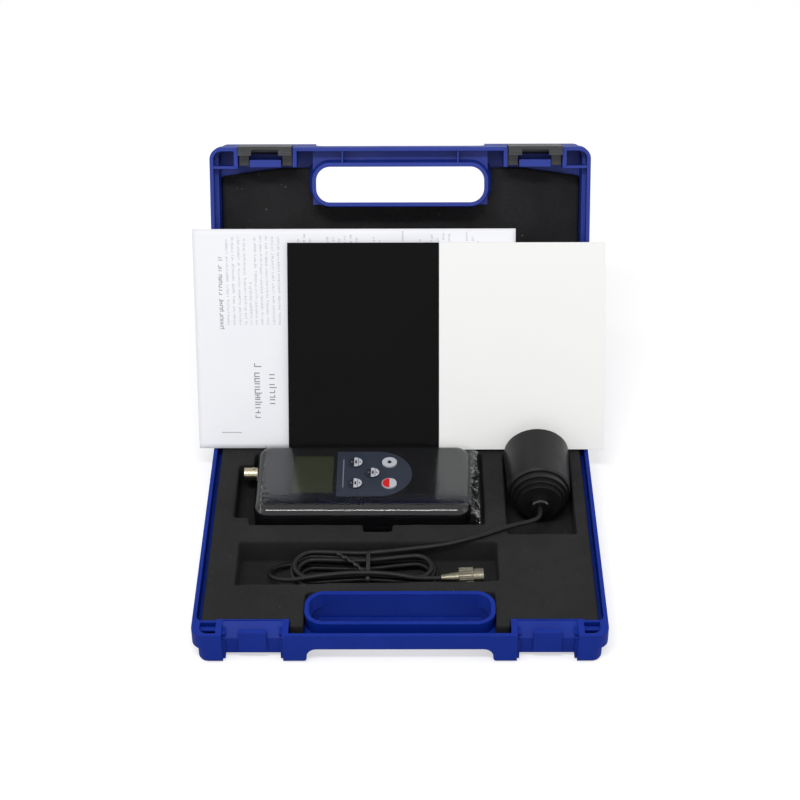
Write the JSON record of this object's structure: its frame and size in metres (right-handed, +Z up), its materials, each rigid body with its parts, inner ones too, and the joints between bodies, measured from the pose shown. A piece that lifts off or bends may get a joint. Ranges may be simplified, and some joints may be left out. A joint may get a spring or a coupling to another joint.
{
  "type": "portable colour meter kit",
  "caption": "Hand-held colour meter with a cabled probe, two calibration plates and a manual in an open foam-lined carrying case with a hinged lid.",
  "frame": {"origin": "Centre of the case's footprint, on the bench that its feet stand on.", "axes": "+X to the right along the hinge, +Y from the handle to the hinge, +Z up."},
  "size_m": [0.3167, 0.3497, 0.2303],
  "materials": {
    "blue_plastic": "satin moulded plastic",
    "latch_plastic": "satin moulded plastic",
    "dark_foam": "open-cell foam",
    "meter_plastic": "fine matte",
    "cell_jacket": "semi-gloss jacket",
    "plated_metal": "nickel plate",
    "contact_brass": "plain",
    "board_green": "lacquered board",
    "pin_steel": "plain",
    "clear_window": "clear",
    "lcd_olive": "unlit display",
    "overlay_print": "printed film",
    "button_print": "printed keycap",
    "button_white": "printed keycap",
    "button_red_white": "printed keycap",
    "clear_film": "thin clear wrapping",
    "probe_black": "fine matte",
    "cord_black": "satin sheath",
    "tie_black": "plastic-coated wire",
    "lamp_clear": "clear",
    "black_enamel": "glazed calibration plate",
    "white_enamel": "glazed calibration plate",
    "paper_white": "printed sheet"
  },
  "bodies": {
    "base": {"base_shell": "blue_plastic", "hinge_pins": "pin_steel", "base_foam": "dark_foam", "base_foam_pad": "dark_foam"},
    "lid": {"lid_shell": "blue_plastic", "latch_pins": "pin_steel", "lid_foam": "dark_foam"},
    "latch_left": {"latch_left": "latch_plastic"},
    "latch_right": {"latch_right": "latch_plastic"},
    "meter": {"meter_front_cover": "meter_plastic", "meter_back_cover": "meter_plastic", "batteries": "cell_jacket", "battery_contacts": "plated_metal", "circuit_board": "board_green", "housing_screws": "pin_steel", "display_window": "clear_window", "lcd_module": "lcd_olive", "keypad_overlay": "overlay_print", "socket_body": "plated_metal", "socket_contact": "contact_brass", "socket_nut": "plated_metal", "wrapping_film": "clear_film"},
    "battery_door": {"battery_door": "meter_plastic"},
    "button_top_left": {"button_top_left": "button_print"},
    "button_top_right": {"button_top_right": "button_white"},
    "button_middle": {"button_middle": "button_print"},
    "button_bottom_left": {"button_bottom_left": "button_print"},
    "button_bottom_right": {"button_bottom_right": "button_red_white"},
    "probe": {"probe_housing": "probe_black", "probe_rear_cap": "probe_black", "probe_gland": "cord_black", "probe_aperture_ring": "probe_black", "probe_window": "clear_window", "probe_board": "board_green", "probe_lamps": "lamp_clear", "cable_lead": "cord_black", "cable_hank": "cord_black", "cable_tail": "cord_black", "twist_tie": "tie_black", "plug_boot": "plated_metal", "plug_body": "plated_metal", "plug_contact": "contact_brass"},
    "plug_ring": {"plug_ring": "plated_metal"},
    "plates": {"black_plate": "black_enamel", "white_plate": "white_enamel"},
    "manual": {"manual": "paper_white", "manual_staple": "pin_steel"}
  },
  "joints": [
    {"name": "lid_hinge", "type": "hinge", "parent": "base", "child": "lid", "pos_m": [0, 0.1115, 0.02615], "axis": [-1, 0, 0], "range_deg": [-115.5, 0]},
    {"name": "latch_left_hinge", "type": "hinge", "parent": "lid", "child": "latch_left", "pos_m": [-0.1026, 0.21746, 0.21891], "axis": [-1, 0, 0], "range_deg": [0, 60]},
    {"name": "latch_right_hinge", "type": "hinge", "parent": "lid", "child": "latch_right", "pos_m": [0.1026, 0.21746, 0.21891], "axis": [-1, 0, 0], "range_deg": [0, 60]},
    {"name": "meter_lift", "type": "slide", "parent": "base", "child": "meter", "axis": [0, 0, 1], "range_m": [0, 0.06]},
    {"name": "battery_door_slide", "type": "slide", "parent": "meter", "child": "battery_door", "axis": [1, 0, 0], "range_m": [0, 0.006]},
    {"name": "press_top_left", "type": "slide", "parent": "meter", "child": "button_top_left", "axis": [0, 0, -1], "range_m": [0, 0.001], "stiffness_N_per_m": 300},
    {"name": "press_top_right", "type": "slide", "parent": "meter", "child": "button_top_right", "axis": [0, 0, -1], "range_m": [0, 0.001], "stiffness_N_per_m": 300},
    {"name": "press_middle", "type": "slide", "parent": "meter", "child": "button_middle", "axis": [0, 0, -1], "range_m": [0, 0.001], "stiffness_N_per_m": 300},
    {"name": "press_bottom_left", "type": "slide", "parent": "meter", "child": "button_bottom_left", "axis": [0, 0, -1], "range_m": [0, 0.001], "stiffness_N_per_m": 300},
    {"name": "press_bottom_right", "type": "slide", "parent": "meter", "child": "button_bottom_right", "axis": [0, 0, -1], "range_m": [0, 0.001], "stiffness_N_per_m": 300},
    {"name": "probe_lift", "type": "slide", "parent": "base", "child": "probe", "axis": [0, 0, 1], "range_m": [0, 0.06]},
    {"name": "plug_ring_turn", "type": "hinge", "parent": "probe", "child": "plug_ring", "pos_m": [0.0469, -0.04643, 0.0205], "axis": [0.9981, 0.061, 0], "range_deg": [0, 90]},
    {"name": "plates_slide", "type": "slide", "parent": "base", "child": "plates", "axis": [0, -0.2079, 0.9781], "range_m": [0, 0.888]},
    {"name": "manual_slide", "type": "slide", "parent": "base", "child": "manual", "axis": [0, -0.2079, 0.9781], "range_m": [0, 0.888]}
  ],
  "couplings": [
    {"joint": "plates_slide", "follows": "lid_hinge", "m_per_rad": -0.44},
    {"joint": "manual_slide", "follows": "lid_hinge", "m_per_rad": -0.44}
  ]
}
